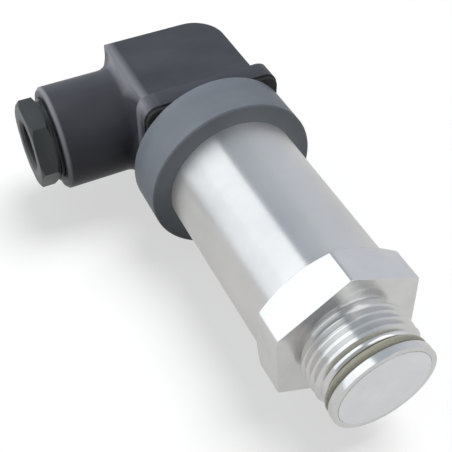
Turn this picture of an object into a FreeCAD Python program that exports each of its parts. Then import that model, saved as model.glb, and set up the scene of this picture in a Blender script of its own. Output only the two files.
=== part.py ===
import FreeCAD, Part
import math
import os

# Pressure transmitter with a flush diaphragm and a right-angle plug connector, in mm.
# Y is the pressure axis and the process end points to -Y. The cable outlet points
# to -X and +Z is up. The origin is the centre of the hexagon's front shoulder.

# Clearances
fit_gap = 0.02            # pressed, welded or glued joints
seat_gap = 0.1            # parts that drop into a bore, slot or pocket
running_gap = 0.08        # threads that turn
blade_gap = 0.12          # contact blades in their slots

# Process connection, one turned piece
thread_radius = 10.0
thread_length = 8.0
thread_lead_in = 0.6
seal_groove_width = 2.0
seal_groove_radius = 8.3
front_seal_radius = 9.75
land_length = 1.5
land_radius = 9.75
edge_break = 0.3
hex_across_flats = 27.0
hex_length = 7.5
hex_corner_angle = 94.7   # one corner stands almost straight up
hex_back_chamfer_radius = 13.7
hex_front_break = 0.25
spigot_length = 4.0

# Diaphragm and the oil space behind it
diaphragm_radius = 8.8
diaphragm_thickness = 0.3
oil_space_radius = 7.6
oil_space_depth = 0.4
channel_radius = 0.8
front_web = 3.3

# Sensor header
header_pocket_radius = 6.5
header_length = 5.0
header_recess_radius = 5.4
header_recess_depth = 2.0
pin_circle_radius = 4.2
pin_radius = 0.25
pin_stand_out = 0.9
bead_radius = 0.7
pin_positions = 6         # the last position holds the filling ball
pedestal_side = 3.0
pedestal_height = 1.0
die_side = 2.2
die_height = 0.4

# Boards
board_bore_radius = 9.5
board_seat = 2.0
disc_board_thickness = 1.0
holder_wall = 1.5
slot_floor_offset = 2.0
board_thickness = 1.2
board_end_room = 2.0
link_pin_side = 0.5
link_pin_pitch = 2.54
link_pin_count = 4
link_pin_overlap = 3.0
link_pin_tip = 0.8

# Parts on the boards; a station is a share of the amplifier board's length
resistor_length = 1.6
resistor_width = 0.8
resistor_height = 0.5
resistor_pitch = 2.2
resistor_drop = 3.0
resistor_count = 3
chip_station = 0.32
chip_width = 4.0
chip_length = 5.0
chip_height = 1.4
chip_stand_off = 0.2
chip_lead_pitch = 1.27
chip_lead_width = 0.4
chip_lead_thickness = 0.3
chip_lead_reach = 1.0
chip_leads_per_side = 4
transistor_station = 0.6
transistor_width = 6.4
transistor_length = 6.0
transistor_height = 2.2
tab_width = 5.2
tab_length = 1.0
tab_height = 0.6
trimmer_offset = 5.6
trimmer_width = 3.4
trimmer_length = 3.8
trimmer_height = 1.6
rotor_radius = 1.2
rotor_stand_out = 0.4
rotor_slot_width = 0.4
rotor_slot_depth = 0.3
capacitor_stations = (0.3, 0.43, 0.56, 0.69)
capacitor_length = 3.2
capacitor_width = 2.5
capacitor_height = 1.7

# Case
case_radius = 13.5
case_wall = 1.5
case_length = 37.5

# Connector base with its collar
collar_radius = 17.3
collar_length = 10.0
collar_front_chamfer = 0.3
collar_back_chamfer = 0.5
case_seat_depth = 2.0
base_spigot_length = 10.0
base_cavity_radius = 10.0
base_floor = 12.0
base_seal_section = 0.78
base_seal_offset = 2.0

# Contacts
contact_radius = 9.0
blade_width = 6.3
blade_thickness = 0.8
blade_stand_out = 8.0
earth_extra = 1.0
blade_tip_chamfer = 0.25
tail_width = 2.4
tail_length = 5.5
lead_radius = 0.4
lead_bend = 1.5
lead_run = 3.5

# Plug
gasket_thickness = 1.0
gasket_inset = 0.3
skirt_back_side = 15.1   # towards +X, away from the outlet
skirt_outlet_side = 14.0
skirt_half_height = 13.9
skirt_length = 4.0
skirt_corner = 3.0
box_outlet_side = 12.2
box_far_side = 12.8
box_half_height = 11.9
box_corner = 0.9
box_far_round = 7.0       # upright back corner away from the outlet
plug_length = 26.6
plug_wall = 1.2
plug_back_wall = 2.5

# Cable outlet
outlet_offset = 15.7      # from the plug's front face to the outlet's axis
barrel_radius = 10.9
barrel_reach = 29.0
barrel_rim_edge = 0.6
barrel_flare = 3.5
gland_bore_radius = 8.9
gland_bore_depth = 11.5
cable_bore_radius = 5.5
gland_seal_length = 6.0
gland_seal_bore = 4.9
gland_washer_thickness = 1.0
gland_washer_bore = 5.2

# Gland nut
nut_bore_radius = 5.0
nut_neck_radius = 8.2
nut_neck_length = 1.6
nut_engagement = 4.1
nut_across_flats = 16.5
nut_head_length = 3.8
nut_corner_angle = 64.0
nut_chamfer_radius = 8.5
nut_mouth_chamfer = 0.6

# Retaining screw and the nut insert that it turns in
screw_radius = 1.45
screw_bite = 5.5
screw_head_radius = 3.0
screw_head_height = 2.6
screw_slot_width = 0.8
screw_slot_depth = 1.2
screw_head_sink = 0.3
screw_seal_thickness = 0.6
boss_wall = 1.4
insert_nut_radius = 2.6
insert_nut_length = 7.0
screw_clearance = 0.25
screw_tip_room = 2.0
gasket_hole_radius = 3.0

# Terminal insert and its contacts
insert_length = 11.3
insert_face_gap = 0.2
socket_width = 7.4
socket_wall = 0.55
socket_end_room = 0.5
clamp_reach = 4.2
clamp_length = 5.0
clamp_hole_radius = 1.1
terminal_screw_radius = 1.2
terminal_head_radius = 1.9
terminal_head_height = 1.4

# Stations along Y
front_face = -(thread_length + seal_groove_width + land_length)
land_back = front_face + land_length
groove_back = land_back + seal_groove_width
hex_back = hex_length
spigot_end = hex_back + spigot_length
oil_space_back = front_face + diaphragm_thickness + oil_space_depth
pocket_floor = oil_space_back + front_web
header_back = pocket_floor + header_length
disc_board_back = board_seat + disc_board_thickness
slot_floor = disc_board_back + slot_floor_offset
case_back = hex_back + case_length
collar_front = case_back - case_seat_depth
collar_back = collar_front + collar_length
base_spigot_front = case_back - base_spigot_length
cavity_floor = collar_back - base_floor
board_back = cavity_floor - board_end_room
board_length = board_back - slot_floor
plug_front = collar_back + gasket_thickness
plug_back = plug_front + plug_length
outlet_axis = plug_front + outlet_offset
plug_ceiling = plug_back - plug_back_wall
insert_front = plug_front + insert_face_gap
insert_back = insert_front + insert_length
socket_front = insert_front + insert_face_gap
socket_back = plug_front + blade_stand_out + earth_extra + socket_end_room + socket_wall

# Places along X
gland_shoulder = gland_bore_depth - barrel_reach
seal_outer = gland_shoulder - gland_seal_length
washer_outer = seal_outer - gland_washer_thickness
nut_neck_start = washer_outer - nut_engagement
nut_head_start = nut_neck_start - nut_neck_length
nut_end = nut_head_start - nut_head_length

# Radii and half widths that follow from the parts around them
case_bore = case_radius - case_wall
board_radius = board_bore_radius - seat_gap
board_half_width = contact_radius - blade_thickness / 2 - seat_gap
inner_half_width = box_outlet_side - plug_wall
inner_half_height = box_half_height - plug_wall

along_y = FreeCAD.Vector(0, 1, 0)
along_x = FreeCAD.Vector(1, 0, 0)
along_z = FreeCAD.Vector(0, 0, 1)
origin = FreeCAD.Vector(0, 0, 0)


def turned(outline):
    # outline: (radius, y) corners, turned about the pressure axis
    points = [FreeCAD.Vector(radius, y, 0) for radius, y in outline]
    face = Part.Face(Part.makePolygon(points + points[:1]))
    return face.revolve(origin, along_y, 360)


def turned_on_outlet(outline):
    # outline: (x, radius) corners, turned about the cable outlet's axis
    points = [FreeCAD.Vector(x, outlet_axis + radius, 0) for x, radius in outline]
    face = Part.Face(Part.makePolygon(points + points[:1]))
    return face.revolve(FreeCAD.Vector(0, outlet_axis, 0), along_x, 360)


def rod(radius, y0, y1, x=0.0, z=0.0):
    return Part.makeCylinder(radius, y1 - y0, FreeCAD.Vector(x, y0, z), along_y)


def ring(outer, inner, y0, y1):
    return turned([(inner, y0), (outer, y0), (outer, y1), (inner, y1)])


def outlet_ring(outer, inner, x0, x1):
    return turned_on_outlet([(x0, inner), (x0, outer), (x1, outer), (x1, inner)])


def block(x0, x1, y0, y1, z0, z1):
    return Part.makeBox(x1 - x0, y1 - y0, z1 - z0, FreeCAD.Vector(x0, y0, z0))


def o_ring(centre_radius, section, y):
    return Part.makeTorus(centre_radius, section, FreeCAD.Vector(0, y, 0), along_y)


def around_axis(shape, angle):
    # angle in degrees from +X towards +Z
    turned_shape = shape.copy()
    turned_shape.rotate(origin, along_y, -angle)
    return turned_shape


def edges_along(shape, direction):
    # straight edges parallel to a direction
    found = []
    for edge in shape.Edges:
        if isinstance(edge.Curve, Part.Line):
            if abs(edge.Curve.Direction.dot(direction)) > 0.999:
                found.append(edge)
    return found


def hexagon(across_flats, y0, y1, corner_angle):
    corner = across_flats / math.sqrt(3)
    angles = [math.radians(corner_angle + 60 * side) for side in range(6)]
    points = [FreeCAD.Vector(corner * math.cos(a), y0, corner * math.sin(a)) for a in angles]
    face = Part.Face(Part.makePolygon(points + points[:1]))
    return face.extrude(FreeCAD.Vector(0, y1 - y0, 0))


def chamfered_hexagon(across_flats, y0, y1, corner_angle, front_radius, back_radius):
    # each end is turned down at 30 degrees to a circle, as on a bar-turned hexagon
    corner = across_flats / math.sqrt(3)
    front_drop = (corner - front_radius) * math.tan(math.radians(30))
    back_drop = (corner - back_radius) * math.tan(math.radians(30))
    cones = turned([(0, y0), (front_radius, y0), (corner, y0 + front_drop),
                    (corner, y1 - back_drop), (back_radius, y1), (0, y1)])
    return hexagon(across_flats, y0, y1, corner_angle).common(cones)


def pin_angle(position):
    return 90 + 360 / pin_positions * position


def pin_centre(position):
    angle = math.radians(pin_angle(position))
    return pin_circle_radius * math.cos(angle), pin_circle_radius * math.sin(angle)


def make_pressure_port():
    stub = turned([
        (0, front_face), (land_radius - edge_break, front_face),
        (land_radius, front_face + edge_break), (land_radius, land_back),
        (seal_groove_radius, land_back), (seal_groove_radius, groove_back),
        (thread_radius - thread_lead_in, groove_back),
        (thread_radius, groove_back + thread_lead_in), (thread_radius, 0), (0, 0)])
    front_radius = hex_across_flats / math.sqrt(3) - hex_front_break
    hexagon_part = chamfered_hexagon(hex_across_flats, 0, hex_back, hex_corner_angle,
                                     front_radius, hex_back_chamfer_radius)
    spigot = rod(case_bore - fit_gap, hex_back, spigot_end)
    seat_radius = diaphragm_radius + fit_gap
    seat_back = front_face + diaphragm_thickness
    inside = turned([
        (0, front_face), (seat_radius, front_face), (seat_radius, seat_back),
        (oil_space_radius, seat_back), (oil_space_radius, oil_space_back),
        (channel_radius, oil_space_back), (channel_radius, pocket_floor),
        (header_pocket_radius, pocket_floor), (header_pocket_radius, board_seat),
        (board_bore_radius, board_seat), (board_bore_radius, spigot_end), (0, spigot_end)])
    return stub.fuse([hexagon_part, spigot]).removeSplitter().cut(inside)


def make_diaphragm():
    return rod(diaphragm_radius, front_face, front_face + diaphragm_thickness)


def make_front_seal():
    section = (front_seal_radius - seal_groove_radius - fit_gap) / 2
    centre = front_seal_radius - section
    return o_ring(centre, section, (land_back + groove_back) / 2)


def make_sensor_header():
    recess_floor = pocket_floor + header_recess_depth
    body = rod(header_pocket_radius - fit_gap, pocket_floor, header_back)
    holes = [rod(header_recess_radius, pocket_floor, recess_floor)]
    for position in range(pin_positions):
        x, z = pin_centre(position)
        holes.append(rod(bead_radius, recess_floor, header_back, x, z))
    return body.cut(holes)


def make_pin_seals():
    # glass beads that hold the pins in the header
    beads = []
    for position in range(pin_positions - 1):
        x, z = pin_centre(position)
        bead = rod(bead_radius - fit_gap / 2, pocket_floor + header_recess_depth, header_back, x, z)
        hole = rod(pin_radius + fit_gap / 2, pocket_floor, header_back, x, z)
        beads.append(bead.cut(hole))
    return Part.makeCompound(beads)


def make_header_pins():
    pins = []
    start = pocket_floor + header_recess_depth - pin_stand_out
    for position in range(pin_positions - 1):
        x, z = pin_centre(position)
        pins.append(rod(pin_radius, start, disc_board_back + pin_stand_out, x, z))
    return Part.makeCompound(pins)


def make_filling_ball():
    x, z = pin_centre(pin_positions - 1)
    middle = (pocket_floor + header_recess_depth + header_back) / 2
    return Part.makeSphere(bead_radius - fit_gap / 2, FreeCAD.Vector(x, middle, z))


def square_stack(side, y0, y1):
    return block(-side / 2, side / 2, y0, y1, -side / 2, side / 2)


def make_die_pedestal():
    floor = pocket_floor + header_recess_depth
    return square_stack(pedestal_side, floor - pedestal_height, floor)


def make_sensor_die():
    back = pocket_floor + header_recess_depth - pedestal_height
    return square_stack(die_side, back - die_height, back)


def link_pin_columns():
    first = -(link_pin_count - 1) / 2
    return [(first + column) * link_pin_pitch for column in range(link_pin_count)]


def link_pin(x, y0, y1, grow=0.0):
    half = link_pin_side / 2 + grow
    z = board_thickness / 2 + link_pin_side / 2
    return block(x - half, x + half, y0, y1, z - half, z + half)


def make_disc_board():
    board = rod(board_radius, board_seat, disc_board_back)
    holes = []
    for position in range(pin_positions - 1):
        x, z = pin_centre(position)
        holes.append(rod(pin_radius + seat_gap, board_seat, disc_board_back, x, z))
    for x in link_pin_columns():
        holes.append(link_pin(x, board_seat, disc_board_back, seat_gap))
    return board.cut(holes)


def make_trim_resistors():
    # chips on the back of the disc board, below the amplifier board
    half = resistor_length / 2
    chips = []
    for place in range(resistor_count):
        x = (place - (resistor_count - 1) / 2) * resistor_pitch
        chips.append(block(x - half, x + half, disc_board_back, disc_board_back + resistor_height,
                           -resistor_drop - resistor_width, -resistor_drop))
    return Part.makeCompound(chips)


def make_board_holder():
    holder = ring(board_radius, board_radius - holder_wall, disc_board_back, spigot_end)
    half_slot = board_thickness / 2 + seat_gap
    slot = block(-board_bore_radius, board_bore_radius, slot_floor, spigot_end,
                 -half_slot, half_slot)
    return holder.cut(slot)


def make_link_pins():
    pins = [link_pin(x, board_seat - link_pin_tip, slot_floor + link_pin_overlap)
            for x in link_pin_columns()]
    return Part.makeCompound(pins)


def make_amplifier_board():
    return block(-board_half_width, board_half_width, slot_floor, board_back,
                 -board_thickness / 2, board_thickness / 2)


def board_station(share):
    return slot_floor + share * board_length


def make_amplifier_chip():
    # small-outline package with gull-wing leads on both sides
    top = board_thickness / 2
    middle = board_station(chip_station)
    half_width = chip_width / 2
    lead_half = chip_lead_width / 2
    body = block(-half_width, half_width, middle - chip_length / 2, middle + chip_length / 2,
                 top + chip_stand_off, top + chip_stand_off + chip_height)
    leads = []
    for lead in range(chip_leads_per_side):
        y = middle + (lead - (chip_leads_per_side - 1) / 2) * chip_lead_pitch
        foot = half_width + chip_lead_reach
        leads.append(block(-foot, fit_gap - half_width, y - lead_half, y + lead_half,
                           top, top + chip_lead_thickness))
        leads.append(block(half_width - fit_gap, foot, y - lead_half, y + lead_half,
                           top, top + chip_lead_thickness))
    return body.fuse(leads).removeSplitter()


def make_output_transistor():
    top = board_thickness / 2
    start = board_station(transistor_station)
    back = start + transistor_length
    body = block(-transistor_width / 2, transistor_width / 2, start, back,
                 top, top + transistor_height)
    tab = block(-tab_width / 2, tab_width / 2, back, back + tab_length, top, top + tab_height)
    return body.fuse(tab)


def make_trimmer(x):
    # square adjuster with a slotted rotor
    top = board_thickness / 2
    middle = board_station(chip_station)
    half = trimmer_width / 2
    rotor_top = top + trimmer_height + rotor_stand_out
    body = block(x - half, x + half, middle - trimmer_length / 2, middle + trimmer_length / 2,
                 top, top + trimmer_height)
    rotor = Part.makeCylinder(rotor_radius, trimmer_height + rotor_stand_out,
                              FreeCAD.Vector(x, middle, top))
    slot = block(x - rotor_slot_width / 2, x + rotor_slot_width / 2, middle - rotor_radius,
                 middle + rotor_radius, rotor_top - rotor_slot_depth, rotor_top)
    return body.fuse(rotor).cut(slot)


def make_board_capacitors():
    # chip capacitors on the underside
    under = -board_thickness / 2
    half = capacitor_length / 2
    chips = []
    for share in capacitor_stations:
        y = board_station(share)
        chips.append(block(-half, half, y - capacitor_width / 2, y + capacitor_width / 2,
                           under - capacitor_height, under))
    return Part.makeCompound(chips)


def make_case_tube():
    return ring(case_radius, case_bore, hex_back, case_back)


def blade(y_tip, gap=0.0):
    # built on the +X side: the tail is solder width and the front is contact width
    y_tail = cavity_floor - tail_length
    inner = contact_radius - blade_thickness / 2 - gap
    outer = contact_radius + blade_thickness / 2 + gap
    tail_half = tail_width / 2 + gap
    half = blade_width / 2 + gap
    tail = block(inner, outer, y_tail, cavity_floor, -tail_half, tail_half)
    front = block(inner, outer, cavity_floor, y_tip, -half, half)
    if gap == 0.0:
        tip_edges = [edge for edge in front.Edges
                     if min(v.Point.y for v in edge.Vertexes) > y_tip - fit_gap]
        front = front.makeChamfer(blade_tip_chamfer, tip_edges)
    return tail.fuse(front)


contact_angles = {
    "contact_blade_1": 90,
    "contact_blade_2": 270,
    "contact_blade_3": 180,
    "earth_blade": 0,
}


def blade_tip(name):
    extra = earth_extra if name == "earth_blade" else 0.0
    return plug_front + blade_stand_out + extra


def make_blade(name):
    return around_axis(blade(blade_tip(name)), contact_angles[name])


def make_contact_leads():
    # bent wires that join the upper and lower blades to the board's two faces
    top = contact_radius - blade_thickness / 2 - lead_radius
    start = cavity_floor - lead_radius
    bend_start = start - lead_run
    corner = lead_bend * (1 - math.sqrt(0.5))
    down_y = bend_start - lead_bend
    straight = Part.LineSegment(FreeCAD.Vector(0, start, top), FreeCAD.Vector(0, bend_start, top))
    arc = Part.Arc(FreeCAD.Vector(0, bend_start, top),
                   FreeCAD.Vector(0, down_y + corner, top - corner),
                   FreeCAD.Vector(0, down_y, top - lead_bend))
    drop = Part.LineSegment(FreeCAD.Vector(0, down_y, top - lead_bend),
                            FreeCAD.Vector(0, down_y, board_thickness / 2))
    path = Part.Wire([straight.toShape(), arc.toShape(), drop.toShape()])
    circle = Part.Wire([Part.makeCircle(lead_radius, FreeCAD.Vector(0, start, top), along_y)])
    lead = path.makePipeShell([circle], True, False)
    return Part.makeCompound([lead, around_axis(lead, 180)])


def base_seal_radius():
    return case_bore - fit_gap - base_seal_section


def make_connector_base():
    spigot = case_bore - fit_gap
    groove_y = case_back - base_seal_offset
    groove_half = base_seal_section + seat_gap
    groove_radius = base_seal_radius() - base_seal_section - fit_gap
    seat = case_radius + fit_gap
    body = turned([
        (0, base_spigot_front), (spigot, base_spigot_front),
        (spigot, groove_y - groove_half), (groove_radius, groove_y - groove_half),
        (groove_radius, groove_y + groove_half), (spigot, groove_y + groove_half),
        (spigot, case_back), (seat, case_back), (seat, collar_front),
        (collar_radius - collar_front_chamfer, collar_front),
        (collar_radius, collar_front + collar_front_chamfer),
        (collar_radius, collar_back - collar_back_chamfer),
        (collar_radius - collar_back_chamfer, collar_back), (0, collar_back)])
    cuts = [rod(base_cavity_radius, base_spigot_front, cavity_floor)]
    for angle in contact_angles.values():
        cuts.append(around_axis(blade(collar_back, fit_gap), angle))
    nut_floor = collar_back - insert_nut_length
    cuts.append(rod(insert_nut_radius + fit_gap, nut_floor, collar_back))
    cuts.append(rod(screw_radius + screw_clearance, nut_floor - screw_tip_room, nut_floor))
    return body.cut(cuts)


def make_base_seal():
    return o_ring(base_seal_radius(), base_seal_section, case_back - base_seal_offset)


def make_insert_nut():
    return ring(insert_nut_radius, screw_radius + running_gap,
                collar_back - insert_nut_length, collar_back)


def rounded_plate(x0, x1, y0, y1, half_height, corner):
    plate = block(x0, x1, y0, y1, -half_height, half_height)
    return plate.makeFillet(corner, edges_along(plate, along_y))


def make_flat_gasket():
    plate = rounded_plate(-skirt_outlet_side + gasket_inset, skirt_back_side - gasket_inset,
                          collar_back, plug_front, skirt_half_height - gasket_inset,
                          skirt_corner - gasket_inset)
    holes = [rod(gasket_hole_radius, collar_back, plug_front)]
    for angle in contact_angles.values():
        holes.append(around_axis(blade(plug_front, blade_gap), angle))
    return plate.cut(holes)


def hollow_arc(side, reach, back_half):
    # quarter circle from the skirt's rim in to the box's wall, as (across, y) points
    start = plug_front + skirt_length
    radius = reach - back_half
    bend = math.sqrt(0.5)
    return [(side * reach, start),
            (side * (reach - radius * bend), start + radius * (1 - bend)),
            (side * back_half, start + radius)]


def plug_profile(low, high, back_low, back_high, place, depth):
    # one side view of the plug, pushed through by depth: skirt, hollow arcs, box
    left = hollow_arc(-1, low, back_low)
    right = hollow_arc(1, high, back_high)

    def line(start, end):
        return Part.LineSegment(place(*start), place(*end)).toShape()

    def curve(points):
        return Part.Arc(*[place(*point) for point in points]).toShape()

    back_left = (-back_low, plug_back)
    back_right = (back_high, plug_back)
    front_left = (-low, plug_front)
    front_right = (high, plug_front)
    outline = Part.Wire([
        line(front_left, left[0]), curve(left), line(left[2], back_left),
        line(back_left, back_right), line(back_right, right[2]), curve(right[::-1]),
        line(right[0], front_right), line(front_right, front_left)])
    return Part.Face(outline).extrude(depth)


def is_far_back_corner(edge):
    # the upright edge of the box's back away from the outlet
    return all(abs(vertex.Point.x - box_far_side) < fit_gap and
               abs(vertex.Point.y - plug_back) < fit_gap for vertex in edge.Vertexes)


def is_box_edge(edge):
    # the edges round the box's two flat sides, save on the outlet's side, where the flare joins
    ends = [vertex.Point for vertex in edge.Vertexes]
    upright = abs(ends[0].z - ends[-1].z) > fit_gap
    at_outlet = all(end.x < fit_gap - box_outlet_side for end in ends)
    if upright or at_outlet:
        return False
    at_back = all(abs(end.y - plug_back) < fit_gap for end in ends)
    on_flat = all(abs(abs(end.z) - box_half_height) < fit_gap for end in ends)
    return on_flat and (at_back or abs(ends[0].y - ends[-1].y) > fit_gap)


def make_plug_shell():
    # the view from above and the view from the side cross in the real outline
    tall = skirt_half_height
    from_above = plug_profile(
        skirt_outlet_side, skirt_back_side, box_outlet_side, box_far_side,
        lambda across, y: FreeCAD.Vector(across, y, -tall), FreeCAD.Vector(0, 0, 2 * tall))
    far_corner = [e for e in edges_along(from_above, along_z) if is_far_back_corner(e)]
    from_above = from_above.makeFillet(box_far_round, far_corner)
    from_side = plug_profile(
        tall, tall, box_half_height, box_half_height,
        lambda across, y: FreeCAD.Vector(-skirt_outlet_side, y, across),
        FreeCAD.Vector(skirt_outlet_side + skirt_back_side, 0, 0))
    shell = from_above.common(from_side)
    shell = shell.makeFillet(box_corner, [e for e in shell.Edges if is_box_edge(e)])
    return shell.common(rounded_plate(-skirt_outlet_side, skirt_back_side, plug_front,
                                      plug_back, tall, skirt_corner))


def make_outlet_barrel():
    # the barrel widens in a hollow arc where it leaves the box, trimmed by the box's size
    start = -box_outlet_side
    bend = math.sqrt(0.5)
    root = barrel_radius + barrel_flare

    def place(x, radius):
        return FreeCAD.Vector(x, outlet_axis + radius, 0)

    def line(a, b):
        return Part.LineSegment(place(*a), place(*b)).toShape()

    foot = (start, root)
    middle = (start - barrel_flare * (1 - bend), root - barrel_flare * bend)
    neck = (start - barrel_flare, barrel_radius)
    rim = (-barrel_reach + barrel_rim_edge, barrel_radius)
    face = (-barrel_reach, barrel_radius - barrel_rim_edge)
    arc = Part.Arc(place(*foot), place(*middle), place(*neck)).toShape()
    outline = Part.Wire([line((0, 0), (0, root)), line((0, root), foot), arc, line(neck, rim),
                         line(rim, face), line(face, (-barrel_reach, 0)),
                         line((-barrel_reach, 0), (0, 0))])
    barrel = Part.Face(outline).revolve(FreeCAD.Vector(0, outlet_axis, 0), along_x, 360)
    room = block(-barrel_reach, 0, plug_front, plug_back, -box_half_height, box_half_height)
    room = room.makeFillet(box_corner, edges_along(room, along_x))
    return barrel.common(room)


def make_plug_housing():
    body = make_plug_shell().fuse(make_outlet_barrel())
    room = block(-inner_half_width, inner_half_width, plug_front, plug_ceiling,
                 -inner_half_height, inner_half_height)
    room = room.makeFillet(box_corner, edges_along(room, along_y))
    boss = rod(screw_head_radius + seat_gap + boss_wall, insert_back, plug_ceiling)
    recess_floor = plug_back - screw_head_sink - screw_head_height - screw_seal_thickness
    cuts = [
        rod(screw_radius + screw_clearance, insert_back, plug_back),
        rod(screw_head_radius + seat_gap, recess_floor, plug_back),
        outlet_ring(gland_bore_radius, 0, -barrel_reach, gland_shoulder),
        outlet_ring(cable_bore_radius, 0, gland_shoulder, -inner_half_width + box_corner),
    ]
    return body.cut(room).fuse(boss).cut(cuts)


def socket_block(grow=0.0):
    # outline of one socket contact on the +X side: blade grip and wire clamp
    outer = contact_radius + blade_thickness / 2 + blade_gap + socket_wall + grow
    inner = contact_radius - blade_thickness / 2 - blade_gap - socket_wall - grow
    half = socket_width / 2 + grow
    grip = block(inner, outer, socket_front, socket_back + grow, -half, half)
    clamp_start = socket_back - clamp_length
    clamp_half = terminal_screw_radius + 2 * socket_wall + grow
    clamp = block(inner - clamp_reach, inner, clamp_start - grow, socket_back + grow,
                  -clamp_half, clamp_half)
    return grip.fuse(clamp)


def terminal_radius():
    grip = contact_radius - blade_thickness / 2 - blade_gap - socket_wall
    return grip - clamp_reach / 2


def make_socket_contact():
    # folded brass: a slot for the blade, a cross hole for the wire, a screw from behind
    inner = contact_radius - blade_thickness / 2 - blade_gap
    outer = contact_radius + blade_thickness / 2 + blade_gap
    half = blade_width / 2 + blade_gap
    slot = block(inner, outer, socket_front, socket_back - socket_wall, -half, half)
    wire_y = socket_back - clamp_length / 2
    reach = socket_width
    wire_hole = Part.makeCylinder(clamp_hole_radius, 2 * reach,
                                  FreeCAD.Vector(terminal_radius(), wire_y, -reach),
                                  FreeCAD.Vector(0, 0, 1))
    screw_hole = rod(terminal_screw_radius + running_gap, wire_y, socket_back,
                     terminal_radius())
    return socket_block().cut([slot, wire_hole, screw_hole])


def make_terminal_screw():
    x = terminal_radius()
    shank_end = socket_back - clamp_length / 2 + clamp_hole_radius / 2
    head_back = socket_back + terminal_head_height
    shank = rod(terminal_screw_radius, shank_end, socket_back, x)
    head = rod(terminal_head_radius, socket_back, head_back, x)
    half = screw_slot_width / 2
    slot = block(x - terminal_head_radius, x + terminal_head_radius,
                 head_back - terminal_head_height / 2, head_back, -half, half)
    return shank.fuse(head).cut(slot)


def make_terminal_screws():
    screw = make_terminal_screw()
    return Part.makeCompound([around_axis(screw, angle) for angle in contact_angles.values()])


def make_terminal_insert():
    # plastic block that carries the four sockets inside the housing
    half_x = inner_half_width - seat_gap
    half_z = inner_half_height - seat_gap
    body = block(-half_x, half_x, insert_front, insert_back, -half_z, half_z)
    body = body.makeFillet(box_corner, edges_along(body, along_y))
    cuts = [rod(screw_radius + screw_clearance, insert_front, insert_back)]
    for angle in contact_angles.values():
        pocket = socket_block(seat_gap)
        mouth = socket_block(seat_gap)
        mouth.translate(FreeCAD.Vector(0, -insert_face_gap - seat_gap, 0))
        access = rod(terminal_head_radius + seat_gap, socket_back, insert_back, terminal_radius())
        for cut in (pocket, mouth, access):
            cuts.append(around_axis(cut, angle))
    return body.cut(cuts)


def make_gland_seal():
    return outlet_ring(gland_bore_radius - seat_gap, gland_seal_bore, seal_outer, gland_shoulder)


def make_gland_washer():
    return outlet_ring(gland_bore_radius - seat_gap, gland_washer_bore, washer_outer, seal_outer)


def make_gland_nut():
    sleeve_radius = gland_bore_radius - running_gap
    sleeve = outlet_ring(sleeve_radius, 0, nut_neck_start, washer_outer)
    neck = outlet_ring(nut_neck_radius, 0, nut_head_start, nut_neck_start)
    head = chamfered_hexagon(nut_across_flats, 0, nut_head_length, nut_corner_angle,
                             nut_chamfer_radius, nut_chamfer_radius)
    # stood up along Y like the big hexagon, then laid over onto the outlet's axis
    head.rotate(origin, FreeCAD.Vector(0, 0, 1), 90)
    head.translate(FreeCAD.Vector(nut_head_start, outlet_axis, 0))
    mouth = turned_on_outlet([(nut_end, 0), (nut_end, nut_bore_radius + nut_mouth_chamfer),
                              (nut_end + nut_mouth_chamfer, nut_bore_radius),
                              (washer_outer, nut_bore_radius), (washer_outer, 0)])
    return sleeve.fuse([neck, head]).cut(mouth)


def make_retaining_screw():
    head_back = plug_back - screw_head_sink
    head_front = head_back - screw_head_height
    tip = collar_back - screw_bite
    body = turned([
        (0, tip), (screw_radius - edge_break, tip), (screw_radius, tip + edge_break),
        (screw_radius, head_front), (screw_head_radius, head_front),
        (screw_head_radius, head_back - edge_break),
        (screw_head_radius - edge_break, head_back), (0, head_back)])
    half = screw_slot_width / 2
    slot = block(-screw_head_radius, screw_head_radius, head_back - screw_slot_depth,
                 head_back, -half, half)
    return body.cut(slot)


def make_screw_seal():
    back = plug_back - screw_head_sink - screw_head_height
    return ring(screw_head_radius, screw_radius + running_gap, back - screw_seal_thickness, back)


makers = {
    "pressure_port": make_pressure_port,
    "diaphragm": make_diaphragm,
    "front_seal": make_front_seal,
    "sensor_header": make_sensor_header,
    "pin_seals": make_pin_seals,
    "header_pins": make_header_pins,
    "filling_ball": make_filling_ball,
    "die_pedestal": make_die_pedestal,
    "sensor_die": make_sensor_die,
    "disc_board": make_disc_board,
    "trim_resistors": make_trim_resistors,
    "board_holder": make_board_holder,
    "link_pins": make_link_pins,
    "amplifier_board": make_amplifier_board,
    "amplifier_chip": make_amplifier_chip,
    "output_transistor": make_output_transistor,
    "zero_trimmer": lambda: make_trimmer(-trimmer_offset),
    "span_trimmer": lambda: make_trimmer(trimmer_offset),
    "board_capacitors": make_board_capacitors,
    "case_tube": make_case_tube,
    "contact_leads": make_contact_leads,
    "connector_base": make_connector_base,
    "base_seal": make_base_seal,
    "insert_nut": make_insert_nut,
    "flat_gasket": make_flat_gasket,
    "plug_housing": make_plug_housing,
    "terminal_insert": make_terminal_insert,
    "terminal_screws": make_terminal_screws,
    "gland_seal": make_gland_seal,
    "gland_washer": make_gland_washer,
    "gland_nut": make_gland_nut,
    "retaining_screw": make_retaining_screw,
    "screw_seal": make_screw_seal,
}

sockets = {
    "socket_contact_1": "contact_blade_1",
    "socket_contact_2": "contact_blade_2",
    "socket_contact_3": "contact_blade_3",
    "earth_socket": "earth_blade",
}

os.makedirs("parts", exist_ok=True)
for name in contact_angles:
    make_blade(name).exportStep("parts/" + name + ".step")
for name, mate in sockets.items():
    around_axis(make_socket_contact(), contact_angles[mate]).exportStep("parts/" + name + ".step")
for name, maker in makers.items():
    maker().exportStep("parts/" + name + ".step")
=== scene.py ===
import math

import bmesh
import bpy
from mathutils import Matrix, Vector


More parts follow.
